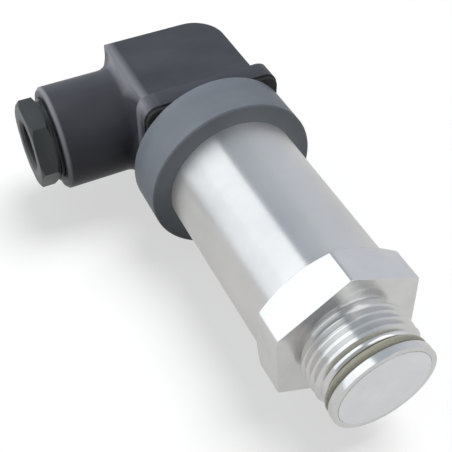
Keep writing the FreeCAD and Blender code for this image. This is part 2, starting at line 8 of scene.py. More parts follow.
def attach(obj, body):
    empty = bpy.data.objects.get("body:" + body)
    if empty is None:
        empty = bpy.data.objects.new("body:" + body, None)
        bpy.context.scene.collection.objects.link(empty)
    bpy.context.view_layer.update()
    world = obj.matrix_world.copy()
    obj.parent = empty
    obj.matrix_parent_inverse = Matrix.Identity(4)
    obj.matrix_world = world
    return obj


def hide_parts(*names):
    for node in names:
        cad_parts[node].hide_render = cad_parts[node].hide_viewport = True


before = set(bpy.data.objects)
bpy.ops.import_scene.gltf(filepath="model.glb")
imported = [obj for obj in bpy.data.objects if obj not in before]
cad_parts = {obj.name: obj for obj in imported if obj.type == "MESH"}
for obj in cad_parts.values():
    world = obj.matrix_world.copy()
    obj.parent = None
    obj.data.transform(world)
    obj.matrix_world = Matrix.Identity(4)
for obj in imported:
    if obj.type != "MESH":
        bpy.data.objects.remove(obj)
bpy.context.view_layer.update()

# Pressure transmitter with a flush diaphragm and a right-angle plug.
# Metres; Y runs from the steel thread (-Y) to the plug (+Y), the cable leaves towards -X.

mm = 0.001
scene = bpy.context.scene


def newObject(name, data):
    made = bpy.data.objects.new(name, data)
    scene.collection.objects.link(made)
    return made


def feed(tree, socket, value):
    # value is another node's output, a number or a colour
    if isinstance(value, bpy.types.NodeSocket):
        tree.links.new(value, socket)
    else:
        socket.default_value = value


def mathNode(tree, operation, *values):
    made = tree.nodes.new("ShaderNodeMath")
    made.operation = operation
    for socket, value in zip(made.inputs, values):
        feed(tree, socket, value)
    return made.outputs[0]


def mixedColour(tree, factor, first, second):
    mix = tree.nodes.new("ShaderNodeMix")
    mix.data_type = "RGBA"
    for label, value in (("Factor", factor), ("A", first), ("B", second)):
        feed(tree, mix.inputs[label], value)
    return mix.outputs["Result"]


class Finish:
    # one material, with short calls for its nodes and links
    def __init__(self, name):
        self.material = bpy.data.materials.new(name)
        self.material.use_nodes = True
        self.tree = self.material.node_tree
        self.tree.nodes.clear()
        self.shader = self.node("ShaderNodeBsdfPrincipled")
        output = self.node("ShaderNodeOutputMaterial")
        self.link(self.shader.outputs["BSDF"], output.inputs["Surface"])
        self.coords = self.node("ShaderNodeTexCoord").outputs["Object"]

    def node(self, kind, **values):
        made = self.tree.nodes.new(kind)
        for key, value in values.items():
            setattr(made, key, value)
        return made

    def link(self, source, target):
        self.tree.links.new(source, target)

    def math(self, operation, *values):
        return mathNode(self.tree, operation, *values)

    def blend(self, factor, first, second):
        return mixedColour(self.tree, factor, first, second)

    def put(self, label, value):
        feed(self.tree, self.shader.inputs[label], value)

    def mapped(self, scale):
        mapping = self.node("ShaderNodeMapping")
        mapping.inputs["Scale"].default_value = scale
        self.link(self.coords, mapping.inputs["Vector"])
        return mapping.outputs["Vector"]

    def axes(self):
        split = self.node("ShaderNodeSeparateXYZ")
        self.link(self.coords, split.inputs[0])
        return split.outputs

    def distance(self, first, second):
        return self.math("SQRT", self.math("ADD", self.math("MULTIPLY", first, first),
                                           self.math("MULTIPLY", second, second)))

    def gap(self, value, place):
        return self.math("ABSOLUTE", self.math("SUBTRACT", value, place))

    def noise(self, vector, scale, detail=3.0, roughness=0.55):
        noise = self.node("ShaderNodeTexNoise")
        noise.inputs["Scale"].default_value = scale
        noise.inputs["Detail"].default_value = detail
        noise.inputs["Roughness"].default_value = roughness
        self.link(vector, noise.inputs["Vector"])
        return noise.outputs["Fac"]

    def ranged(self, value, low, high, fromLow=0.3, fromHigh=0.7):
        made = self.node("ShaderNodeMapRange")
        self.link(value, made.inputs["Value"])
        made.inputs["From Min"].default_value = fromLow
        made.inputs["From Max"].default_value = fromHigh
        made.inputs["To Min"].default_value = low
        made.inputs["To Max"].default_value = high
        return made.outputs["Result"]

    def together(self, first, second, share):
        # two patterns in one, the first with the given share
        return self.math("ADD", self.math("MULTIPLY", first, share),
                         self.math("MULTIPLY", second, 1 - share))

    def tinted(self, pattern, look, **limits):
        # the pattern runs from the look's tint to its second tint
        share = self.ranged(pattern, 0.0, 1.0, **limits)
        return self.blend(share, look["tint"], look["secondTint"])

    def bump(self, height, distance, before=None):
        bump = self.node("ShaderNodeBump")
        bump.inputs["Distance"].default_value = distance
        self.link(height, bump.inputs["Height"])
        if before:
            self.link(before, bump.inputs["Normal"])
        return bump.outputs["Normal"]


def turnedSteel(name, look):
    # lathe or grinding lines run round Y: the pattern changes fast with radius and length,
    # and slowly with the angle
    finish = Finish(name)
    across, along, up = finish.axes()
    joined = finish.node("ShaderNodeCombineXYZ")
    for socket, value, scale in zip(
            joined.inputs,
            (finish.distance(across, up), along, finish.math("ARCTAN2", across, up)),
            (look["linesPerMetre"], look["linesPerMetre"], look["streak"])):
        finish.link(finish.math("MULTIPLY", value, scale), socket)
    lines = finish.noise(joined.outputs[0], scale=1.0, detail=4.0, roughness=0.65)
    patches = finish.noise(finish.coords, look["patchScale"])
    finish.put("Base Color", finish.tinted(patches, look))
    uneven = finish.together(lines, patches, share=0.7)
    finish.put("Roughness", finish.ranged(uneven, *look["roughness"]))
    finish.put("Metallic", 1.0)
    # the cut lines spread a reflection along the axis, a quarter turn from the tangent
    quarterTurn = 0.25
    finish.put("Anisotropic", look["anisotropy"])
    finish.put("Anisotropic Rotation", quarterTurn)
    tangent = finish.node("ShaderNodeTangent", direction_type="RADIAL", axis="Y")
    finish.put("Tangent", tangent.outputs["Tangent"])
    finish.put("Normal", finish.bump(lines, look["lineDepth"]))
    return finish.material


def paintedHighlightShare(finish, edge):
    # share of a painted highlight, highest on the edge and falling to nothing over its reach:
    # a ring round the outlet's axis, or a straight edge along the one of x, y and z that its
    # place leaves out
    across, along, up = finish.axes()
    if "radius" in edge:
        radius = finish.distance(finish.math("SUBTRACT", along, edge["axisAt"]), up)
        gaps = [finish.gap(radius, edge["radius"]), finish.gap(across, edge["x"])]
    else:
        places = {"x": across, "y": along, "z": finish.math("ABSOLUTE", up)}
        gaps = [finish.gap(places[name], edge[name]) for name in "xyz" if name in edge]
    furthest = finish.math("MAXIMUM", *gaps)
    return finish.ranged(furthest, edge["share"], 0.0, edge["core"], edge["reach"])


def mouldedPlastic(name, look):
    # spark-eroded mould grain, faint flow marks and slight shine changes, and painted
    # highlights on the edges the look lists
    finish = Finish(name)
    grain = finish.noise(finish.coords, look["grainPerMetre"], roughness=0.6)
    flow = finish.noise(finish.mapped(look["flowStretch"]), look["flowScale"], detail=2.0)
    colour = finish.tinted(flow, look)
    # painted highlights: the colour is lightened along edges where light catches their rounds
    for edge in look.get("paintedEdgeHighlights", []):
        colour = finish.blend(paintedHighlightShare(finish, edge), colour, look["paintedHighlightTint"])
    finish.put("Base Color", colour)
    uneven = finish.together(grain, flow, share=0.5)
    finish.put("Roughness", finish.ranged(uneven, *look["roughness"]))
    finish.put("Specular IOR Level", look.get("shine", 0.5))
    soft = finish.bump(flow, look["flowDepth"])
    finish.put("Normal", finish.bump(grain, look["grainDepth"], before=soft))
    return finish.material


def rubberFinish(name, look):
    # a dusty bloom that pales and dulls the rubber in spots
    finish = Finish(name)
    dust = finish.noise(finish.coords, look["dustPerMetre"], detail=4.0, roughness=0.7)
    finish.put("Base Color", finish.tinted(dust, look, fromLow=0.45, fromHigh=0.75))
    finish.put("Roughness", finish.ranged(dust, *look["roughness"]))
    finish.put("Normal", finish.bump(dust, look["grainDepth"]))
    return finish.material


def platedMetal(name, look):
    # stains change the colour, drawn scratches the shine
    finish = Finish(name)
    stain = finish.noise(finish.coords, look["stainPerMetre"], detail=4.0, roughness=0.6)
    scratches = finish.noise(finish.mapped(look["scratchStretch"]), look["scratchScale"])
    finish.put("Base Color", finish.tinted(stain, look))
    finish.put("Roughness", finish.ranged(scratches, *look["roughness"]))
    finish.put("Metallic", 1.0)
    finish.put("Normal", finish.bump(scratches, look["scratchDepth"]))
    return finish.material


def boardFinish(name, look):
    # solder mask with copper tracks showing as slightly raised, lighter lines
    finish = Finish(name)
    weave = finish.node("ShaderNodeTexBrick")
    weave.inputs["Scale"].default_value = look["trackScale"]
    weave.inputs["Mortar Size"].default_value = look["trackWidth"]
    finish.link(finish.coords, weave.inputs["Vector"])
    fibre = finish.noise(finish.coords, look["fibrePerMetre"], detail=2.0)
    masked = finish.blend(weave.outputs["Fac"], look["tint"], look["trackTint"])
    finish.put("Base Color", masked)
    finish.put("Roughness", finish.ranged(fibre, *look["roughness"]))
    finish.put("Normal", finish.bump(weave.outputs["Fac"], look["trackHeight"]))
    return finish.material


# lengths in metres, scales per metre; each pair of roughness is the range the pattern covers
finishes = {
    "portSteel": turnedSteel("portSteel", {
        "tint": (0.76, 0.755, 0.745, 1), "secondTint": (0.69, 0.69, 0.685, 1),
        "roughness": (0.17, 0.26), "linesPerMetre": 5200, "streak": 1.2,
        "patchScale": 130, "lineDepth": 0.000004, "anisotropy": 0.4}),
    "caseSteel": turnedSteel("caseSteel", {
        "tint": (0.79, 0.78, 0.77, 1), "secondTint": (0.73, 0.725, 0.72, 1),
        "roughness": (0.29, 0.35), "linesPerMetre": 3800, "streak": 2.0,
        "patchScale": 90, "lineDepth": 0.000003, "anisotropy": 0.97}),
    "foilSteel": turnedSteel("foilSteel", {
        "tint": (0.86, 0.86, 0.865, 1), "secondTint": (0.80, 0.81, 0.82, 1),
        "roughness": (0.34, 0.46), "linesPerMetre": 2600, "streak": 0.8,
        "patchScale": 220, "lineDepth": 0.000004, "anisotropy": 0.4}),
    "collarPlastic": mouldedPlastic("collarPlastic", {
        "tint": (0.250, 0.277, 0.306, 1), "secondTint": (0.306, 0.332, 0.364, 1),
        "roughness": (0.38, 0.52), "grainPerMetre": 3600, "grainDepth": 0.00002,
        "flowScale": 60, "flowStretch": (1, 2.5, 1), "flowDepth": 0.00006, "shine": 0.1}),
    "plugPlastic": mouldedPlastic("plugPlastic", {
        "tint": (0.084, 0.084, 0.099, 1), "secondTint": (0.111, 0.112, 0.130, 1),
        "roughness": (0.32, 0.44), "grainPerMetre": 3000, "grainDepth": 0.00003,
        "flowScale": 70, "flowStretch": (1, 2, 1), "flowDepth": 0.00006, "shine": 0.15,
        # painted highlights: a lighter colour on the outlet's end rim, the box's top edge over
        # the outlet and the skirt's upright edge, where light catches their rounds
        "paintedHighlightTint": (0.40, 0.40, 0.43, 1),
        "paintedEdgeHighlights": [
            {"axisAt": 0.0697, "radius": 0.0106, "x": -0.0286, "core": 0.0002,
             "reach": 0.0006, "share": 0.8},
            {"x": -0.0123, "z": 0.0119, "core": 0.0007, "reach": 0.0022, "share": 0.75},
            {"x": -0.0142, "y": 0.0572, "core": 0.0005, "reach": 0.0019, "share": 0.6}]}),
    "nutPlastic": mouldedPlastic("nutPlastic", {
        "tint": (0.050, 0.056, 0.059, 1), "secondTint": (0.066, 0.073, 0.076, 1),
        "roughness": (0.34, 0.46), "grainPerMetre": 3400, "grainDepth": 0.00002,
        "flowScale": 90, "flowStretch": (3, 1, 1), "flowDepth": 0.00005}),
    "insertPlastic": mouldedPlastic("insertPlastic", {
        "tint": (0.045, 0.045, 0.046, 1), "secondTint": (0.06, 0.06, 0.062, 1),
        "roughness": (0.4, 0.55), "grainPerMetre": 3000, "grainDepth": 0.00002,
        "flowScale": 90, "flowStretch": (1, 2, 1), "flowDepth": 0.00005}),
    "nylon": mouldedPlastic("nylon", {
        "tint": (0.62, 0.60, 0.54, 1), "secondTint": (0.70, 0.68, 0.62, 1),
        "roughness": (0.35, 0.5), "grainPerMetre": 2500, "grainDepth": 0.00002,
        "flowScale": 90, "flowStretch": (1, 2, 1), "flowDepth": 0.00005}),
    "trimmerBlue": mouldedPlastic("trimmerBlue", {
        "tint": (0.03, 0.10, 0.38, 1), "secondTint": (0.04, 0.13, 0.45, 1),
        "roughness": (0.3, 0.45), "grainPerMetre": 3000, "grainDepth": 0.00001,
        "flowScale": 200, "flowStretch": (1, 1, 1), "flowDepth": 0.00002}),
    "chipBlack": mouldedPlastic("chipBlack", {
        "tint": (0.022, 0.022, 0.023, 1), "secondTint": (0.032, 0.032, 0.033, 1),
        "roughness": (0.45, 0.6), "grainPerMetre": 6000, "grainDepth": 0.00001,
        "flowScale": 200, "flowStretch": (1, 1, 1), "flowDepth": 0.00001}),
    "capacitorTan": mouldedPlastic("capacitorTan", {
        "tint": (0.40, 0.28, 0.15, 1), "secondTint": (0.48, 0.34, 0.19, 1),
        "roughness": (0.3, 0.45), "grainPerMetre": 6000, "grainDepth": 0.00001,
        "flowScale": 200, "flowStretch": (1, 1, 1), "flowDepth": 0.00001}),
    "silicon": mouldedPlastic("silicon", {
        "tint": (0.08, 0.09, 0.13, 1), "secondTint": (0.12, 0.13, 0.17, 1),
        "roughness": (0.08, 0.15), "grainPerMetre": 9000, "grainDepth": 0.000002,
        "flowScale": 800, "flowStretch": (1, 1, 1), "flowDepth": 0.000002}),
    "sealGlass": mouldedPlastic("sealGlass", {
        "tint": (0.10, 0.28, 0.20, 1), "secondTint": (0.14, 0.34, 0.25, 1),
        "roughness": (0.05, 0.12), "grainPerMetre": 4000, "grainDepth": 0.000004,
        "flowScale": 900, "flowStretch": (1, 1, 1), "flowDepth": 0.000004}),
    "brownRubber": rubberFinish("brownRubber", {
        "tint": (0.44, 0.42, 0.32, 1), "secondTint": (0.52, 0.50, 0.40, 1),
        "roughness": (0.20, 0.32), "dustPerMetre": 2600, "grainDepth": 0.00001}),
    "blackRubber": rubberFinish("blackRubber", {
        "tint": (0.016, 0.016, 0.017, 1), "secondTint": (0.05, 0.05, 0.052, 1),
        "roughness": (0.5, 0.75), "dustPerMetre": 2600, "grainDepth": 0.00002}),
    "brass": platedMetal("brass", {
        "tint": (0.66, 0.45, 0.17, 1), "secondTint": (0.56, 0.37, 0.13, 1),
        "roughness": (0.18, 0.34), "stainPerMetre": 500, "scratchScale": 900,
        "scratchStretch": (1, 6, 1), "scratchDepth": 0.000006}),
    "gold": platedMetal("gold", {
        "tint": (0.80, 0.58, 0.20, 1), "secondTint": (0.72, 0.50, 0.17, 1),
        "roughness": (0.12, 0.22), "stainPerMetre": 900, "scratchScale": 1200,
        "scratchStretch": (1, 4, 1), "scratchDepth": 0.000002}),
    "tinned": platedMetal("tinned", {
        "tint": (0.66, 0.66, 0.64, 1), "secondTint": (0.58, 0.58, 0.56, 1),
        "roughness": (0.2, 0.38), "stainPerMetre": 700, "scratchScale": 1000,
        "scratchStretch": (4, 1, 4), "scratchDepth": 0.000005}),
    "zincSteel": platedMetal("zincSteel", {
        "tint": (0.60, 0.61, 0.62, 1), "secondTint": (0.50, 0.50, 0.50, 1),
        "roughness": (0.2, 0.4), "stainPerMetre": 600, "scratchScale": 1100,
        "scratchStretch": (1, 3, 1), "scratchDepth": 0.000006}),
    "boardGreen": boardFinish("boardGreen", {
        "tint": (0.015, 0.13, 0.045, 1), "trackTint": (0.03, 0.20, 0.07, 1),
        "roughness": (0.25, 0.4), "trackScale": 260, "trackWidth": 0.03,
        "trackHeight": 0.00003, "fibrePerMetre": 2500}),
}
print("materials made:", len(finishes))


# the finish of each node that comes from the frame
dressing = {
    "portSteel": ["pressure_port", "sensor_header", "filling_ball"],
    "caseSteel": ["case_tube"],
    "foilSteel": ["diaphragm"],
    "brownRubber": ["front_seal"],
    "blackRubber": ["base_seal", "flat_gasket", "gland_seal", "screw_seal"],
    "sealGlass": ["pin_seals", "die_pedestal"],
    "gold": ["header_pins"],
    "silicon": ["sensor_die"],
    "boardGreen": ["disc_board", "amplifier_board"],
    "chipBlack": ["trim_resistors", "amplifier_chip", "output_transistor"],
    "trimmerBlue": ["zero_trimmer", "span_trimmer"],
    "capacitorTan": ["board_capacitors"],
    "nylon": ["board_holder"],
    "tinned": ["link_pins", "contact_leads", "contact_blade_1", "contact_blade_2",
               "contact_blade_3", "earth_blade"],
    "brass": ["insert_nut", "socket_contact_1", "socket_contact_2", "socket_contact_3",
              "earth_socket"],
    "zincSteel": ["terminal_screws", "gland_washer", "retaining_screw"],
    "collarPlastic": ["connector_base"],
    "plugPlastic": ["plug_housing"],
    "insertPlastic": ["terminal_insert"],
    "nutPlastic": ["gland_nut"],
}


def paint(mesh, finishName):
    mesh.materials.clear()
    mesh.materials.append(finishes[finishName])


for finishName, nodeNames in dressing.items():
    for nodeName in nodeNames:
        paint(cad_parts[nodeName].data, finishName)
print("nodes dressed:", sum(len(nodeNames) for nodeNames in dressing.values()))


def asPiece(name, mesh, look):
    # look gives the finish, body and slot, and the node that the piece stands for, if any; the
    # slot is not used here
    mesh.name = name
    paint(mesh, look["finish"])
    piece = newObject(name, mesh)
    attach(piece, look["body"])
    if "node" in look:
        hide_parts(look["node"])


def modifiedMesh(carrier):
    # a plain mesh of the carrier with its modifiers worked in
    graph = bpy.context.evaluated_depsgraph_get()
    mesh = bpy.data.meshes.new_from_object(carrier.evaluated_get(graph), depsgraph=graph)
    carrier.modifiers.clear()
    bpy.data.objects.remove(carrier)
    return mesh


def finishedMesh(mesh, sharpAngle):
    mergeWithin = 0.000002
    work = bmesh.new()
    work.from_mesh(mesh)
    bmesh.ops.remove_doubles(work, verts=work.verts, dist=mergeWithin)
    bmesh.ops.recalc_face_normals(work, faces=work.faces)
    work.to_mesh(mesh)
    work.free()
    mesh.shade_smooth()
    mesh.set_sharp_from_angle(angle=math.radians(sharpAngle))
    return mesh


def rounded(corners, radius, steps):
    # closed outline with each corner replaced by a small arc of steps + 1 points
    mostOfSide = 0.45            # so that the arcs at the two ends of a side stay apart
    made = []
    count = len(corners)
    for index in range(count):
        before, here, after = [Vector(corners[number % count])
                               for number in (index - 1, index, index + 1)]
        inward, onward = before - here, after - here
        reach = min(radius, mostOfSide * inward.length, mostOfSide * onward.length)
        start = here + inward.normalized() * reach
        end = here + onward.normalized() * reach
        for step in range(steps + 1):
            t = step / steps
            made.append(start * (1 - t) ** 2 + here * 2 * t * (1 - t) + end * t ** 2)
    return made


def turnedMesh(name, outlineAt, segments, startAngle, sharpAngle):
    # closed outline of (radius, y) turned about Y; outlineAt gives it for each angle
    rings = []
    for segment in range(segments):
        angle = startAngle + 2 * math.pi * segment / segments
        rings.append([(radius * math.cos(angle), y, radius * math.sin(angle))
                      for radius, y in outlineAt(angle)])
    count = len(rings[0])
    points = [point for ring in rings for point in ring]
    faces = []
    for segment in range(segments):
        following = (segment + 1) % segments
        for index in range(count):
            other = (index + 1) % count
            faces.append((segment * count + index, segment * count + other,
                          following * count + other, following * count + index))
    mesh = bpy.data.meshes.new(name)
    mesh.from_pydata(points, [], faces)
    return finishedMesh(mesh, sharpAngle)


# stub, hexagon and spigot: millimetres from the hexagon's front face, and degrees
portLook = {
    "front": -11.5, "landBack": -10.0, "grooveBack": -8.0, "landRadius": 9.9,
    "grooveRadius": 8.3, "rootRadius": 9.12, "leadInRadius": 9.3, "leadIn": 0.55,
    "undercutRadius": 8.95, "undercut": 1.1, "undercutRun": 0.3,
    "acrossFlats": 27.0, "hexBack": 7.5, "cornerAngle": 94.7, "frontBreak": 0.25,
    "backChamferRadius": 13.7, "leastChamfer": 0.05, "chamferTilt": 30.0,
    "cornerRadius": 15.47,
    "spigotRadius": 11.98, "spigotEnd": 11.5, "boardBore": 9.5, "boardSeat": 2.0,
    "pocketRadius": 6.5, "pocketFloor": -7.5, "channelRadius": 0.8, "oilRadius": 7.6,
    "oilBack": -10.8, "seatRadius": 8.82, "seatBack": -11.2,
    "edge": 0.16, "edgeSteps": 2, "segments": 360, "sharpAngle": 32,
    "finish": "portSteel", "body": "transmitter", "slot": "port_steel",
    "node": "pressure_port",
}


def makePort(look):
    tilt = math.tan(math.radians(look["chamferTilt"]))
    cornerReach = look["acrossFlats"] / math.sqrt(3)

    def outlineAt(angle):
        # turn is 0 at the middle of a flat and 30 at a corner, and side is the hexagon's
        # radius there, which the turned corners limit
        turn = (math.degrees(angle) - look["cornerAngle"]) % 60 - 30
        side = min(look["acrossFlats"] / 2 / math.cos(math.radians(turn)),
                   look["cornerRadius"])
        frontStart = min(side - look["leastChamfer"], cornerReach - look["frontBreak"])
        backStart = min(side - look["leastChamfer"], look["backChamferRadius"])
        corners = [
            (look["seatRadius"], look["front"]), (look["landRadius"], look["front"]),
            (look["landRadius"], look["landBack"]), (look["grooveRadius"], look["landBack"]),
            (look["grooveRadius"], look["grooveBack"]),
            (look["leadInRadius"] - look["leadIn"], look["grooveBack"]),
            (look["rootRadius"], look["grooveBack"] + look["leadIn"]),
            (look["rootRadius"], -look["undercut"] - look["undercutRun"]),
            (look["undercutRadius"], -look["undercut"]),
            (look["undercutRadius"], 0), (frontStart, 0),
            (side, (side - frontStart) * tilt),
            (side, look["hexBack"] - (side - backStart) * tilt),
            (backStart, look["hexBack"]), (look["spigotRadius"], look["hexBack"]),
            (look["spigotRadius"], look["spigotEnd"]), (look["boardBore"], look["spigotEnd"]),
            (look["boardBore"], look["boardSeat"]), (look["pocketRadius"], look["boardSeat"]),
            (look["pocketRadius"], look["pocketFloor"]),
            (look["channelRadius"], look["pocketFloor"]),
            (look["channelRadius"], look["oilBack"]), (look["oilRadius"], look["oilBack"]),
            (look["oilRadius"], look["seatBack"]), (look["seatRadius"], look["seatBack"]),
        ]
        return [point * mm for point in rounded(corners, look["edge"], look["edgeSteps"])]

    # the first segment stands on a corner, so every corner and flat has its own vertices
    mesh = turnedMesh("pressurePort", outlineAt, look["segments"],
                      math.radians(look["cornerAngle"]), look["sharpAngle"])
    asPiece("pressurePort", mesh, look)


makePort(portLook)
print("port turned")


def threadTree(name):
    # a ridge swept along a helix round Z, fading in and out at its ends
    sunkShare = 0.15             # of its depth, so that its foot lies under the root
    thinnest = 0.02              # of its section, at the very ends
    tree = bpy.data.node_groups.new(name, "GeometryNodeTree")
    panel = tree.interface
    sizes = [("Root Radius", 0.009), ("Depth", 0.0009), ("Pitch", 0.0015), ("Turns", 5.0),
             ("Root Width", 0.0013), ("Crest Width", 0.0002), ("Fade", 0.1), ("Turn", 0.0)]
    for label, value in sizes:
        socket = panel.new_socket(label, in_out="INPUT", socket_type="NodeSocketFloat")
        socket.default_value = value
    steps = panel.new_socket("Steps per Turn", in_out="INPUT", socket_type="NodeSocketInt")
    steps.default_value = 96
    panel.new_socket("Material", in_out="INPUT", socket_type="NodeSocketMaterial")
    panel.new_socket("Geometry", in_out="OUTPUT", socket_type="NodeSocketGeometry")
    nodes, links = tree.nodes, tree.links
    given = nodes.new("NodeGroupInput").outputs
    result = nodes.new("NodeGroupOutput")

    def times(value, factor):
        return mathNode(tree, "MULTIPLY", value, factor)

    def combined(**parts):
        made = nodes.new("ShaderNodeCombineXYZ")
        for label, value in parts.items():
            links.new(value, made.inputs[label])
        return made.outputs[0]

    helix = nodes.new("GeometryNodeCurveSpiral")
    links.new(given["Steps per Turn"], helix.inputs["Resolution"])
    links.new(given["Turns"], helix.inputs["Rotations"])
    links.new(given["Root Radius"], helix.inputs["Start Radius"])
    links.new(given["Root Radius"], helix.inputs["End Radius"])
    links.new(times(given["Pitch"], given["Turns"]), helix.inputs["Height"])
    upright = nodes.new("GeometryNodeSetCurveNormal")
    upright.mode = "Z_UP"
    links.new(helix.outputs["Curve"], upright.inputs["Curve"])

    # ridge section: a trapezium whose foot is sunk into the root
    section = nodes.new("GeometryNodeCurvePrimitiveQuadrilateral")
    section.mode = "POINTS"
    halfRoot = times(given["Root Width"], 0.5)
    halfCrest = times(given["Crest Width"], 0.5)
    sunk = times(given["Depth"], sunkShare)
    outward = times(given["Depth"], -1.0)       # the helix's normal points inwards
    for label, x, y in (("Point 1", sunk, times(halfRoot, -1.0)),
                        ("Point 2", outward, times(halfCrest, -1.0)),
                        ("Point 3", outward, halfCrest), ("Point 4", sunk, halfRoot)):
        links.new(combined(X=x, Y=y), section.inputs[label])

    # the ridge grows from nothing and dies away over the fade at each end
    along = nodes.new("GeometryNodeSplineParameter").outputs["Factor"]
    rise = mathNode(tree, "DIVIDE", along, given["Fade"])
    fall = mathNode(tree, "DIVIDE", mathNode(tree, "SUBTRACT", 1.0, along), given["Fade"])
    swell = mathNode(tree, "MINIMUM", mathNode(tree, "MINIMUM", rise, fall), 1.0)
    sized = nodes.new("GeometryNodeSetCurveRadius")
    links.new(upright.outputs["Curve"], sized.inputs["Curve"])
    links.new(mathNode(tree, "MAXIMUM", swell, thinnest), sized.inputs["Radius"])
    sweep = nodes.new("GeometryNodeCurveToMesh")
    sweep.inputs["Fill Caps"].default_value = True
    links.new(sized.outputs["Curve"], sweep.inputs["Curve"])
    links.new(section.outputs["Curve"], sweep.inputs["Profile Curve"])
    links.new(nodes.new("GeometryNodeInputRadius").outputs[0], sweep.inputs["Scale"])
    turned = nodes.new("GeometryNodeTransform")
    links.new(sweep.outputs["Mesh"], turned.inputs["Geometry"])
    links.new(combined(Z=given["Turn"]), turned.inputs["Rotation"])
    real = nodes.new("GeometryNodeRealizeInstances")
    links.new(turned.outputs["Geometry"], real.inputs["Geometry"])
    painted = nodes.new("GeometryNodeSetMaterial")
    links.new(real.outputs["Geometry"], painted.inputs["Geometry"])
    links.new(given["Material"], painted.inputs["Material"])
    links.new(painted.outputs["Geometry"], result.inputs["Geometry"])
    return tree


# turned and at carry the finished ridge from the helix's own Z axis to the part
threadLooks = {
    "portThread": {
        "sizes": {"Root Radius": 0.00912, "Depth": 0.00088, "Pitch": 0.0015, "Turns": 4.1,
                  "Root Width": 0.00136, "Crest Width": 0.00022, "Fade": 0.06, "Turn": 1.0,
                  "Steps per Turn": 120},
        "turned": (-90, "X"), "at": (0, -0.00715, 0), "sharpAngle": 25,
        "finish": "portSteel", "body": "transmitter", "slot": "port_steel",
    },
    "glandThread": {
        "sizes": {"Root Radius": 0.0082, "Depth": 0.0006, "Pitch": 0.00082, "Turns": 1.6,
                  "Root Width": 0.00066, "Crest Width": 0.00018, "Fade": 0.05, "Turn": 0.4,
                  "Steps per Turn": 96},
        "turned": (90, "Y"), "at": (-0.02985, 0.0697, 0), "sharpAngle": 25,
        "finish": "nutPlastic", "body": "gland_nut", "slot": "nut_plastic",
    },
}


def growThread(name, tree, look):
    carrier = newObject(name, bpy.data.meshes.new(name))
    modifier = carrier.modifiers.new("thread", "NODES")
    modifier.node_group = tree
    values = dict(look["sizes"], Material=finishes[look["finish"]])
    for item in tree.interface.items_tree:
        if item.in_out == "INPUT":
            modifier[item.identifier] = values[item.name]
    mesh = modifiedMesh(carrier)
    degrees, axis = look["turned"]
    mesh.transform(Matrix.Translation(look["at"])
                   @ Matrix.Rotation(math.radians(degrees), 4, axis))
    asPiece(name, finishedMesh(mesh, look["sharpAngle"]), look)


helixTree = threadTree("helixRidge")
for name, look in threadLooks.items():
    growThread(name, helixTree, look)
print("threads cut:", len(threadLooks))


# edges sharper than "above", in degrees, get a round of the given width
softEdges = {
    "collar": {
        "edge": 0.00022, "steps": 3, "above": 28, "finish": "collarPlastic",
        "body": "transmitter", "slot": "collar_plastic", "node": "connector_base"},
    "plugShell": {
        "edge": 0.00028, "steps": 3, "above": 30, "finish": "plugPlastic",
        "body": "plug", "slot": "plug_plastic", "node": "plug_housing"},
    "glandNut": {
        "edge": 0.00022, "steps": 3, "above": 24, "finish": "nutPlastic",
        "body": "gland_nut", "slot": "nut_plastic", "node": "gland_nut"},
    "gasket": {
        "edge": 0.00018, "steps": 2, "above": 30, "finish": "blackRubber",
        "body": "transmitter", "slot": "gasket_rubber", "node": "flat_gasket"},
    "capScrew": {
        "edge": 0.00012, "steps": 2, "above": 30, "finish": "zincSteel",
        "body": "retaining_screw", "slot": "zinc_steel", "node": "retaining_screw"},
}


def softenedCopy(name, look):
    # the CAD node's own shape, merged and with its edges broken by a small round
    mergeWithin = 0.0000015
    flatWithin = math.radians(0.4)
    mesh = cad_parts[look["node"]].data.copy()
    work = bmesh.new()
    work.from_mesh(mesh)
    bmesh.ops.remove_doubles(work, verts=work.verts, dist=mergeWithin)
    bmesh.ops.dissolve_limit(work, angle_limit=flatWithin, verts=work.verts,
                             edges=work.edges, delimit=set())
    work.to_mesh(mesh)
    work.free()
    mesh.shade_smooth()
    carrier = newObject(name, mesh)
    bevel = carrier.modifiers.new("edge", "BEVEL")
    bevel.width = look["edge"]
    bevel.segments = look["steps"]
    bevel.limit_method = "ANGLE"
    bevel.angle_limit = math.radians(look["above"])
    bevel.harden_normals = True
    bevel.use_clamp_overlap = True
    asPiece(name, modifiedMesh(carrier), look)


for name, look in softEdges.items():
    softenedCopy(name, look)
print("edges softened:", len(softEdges))


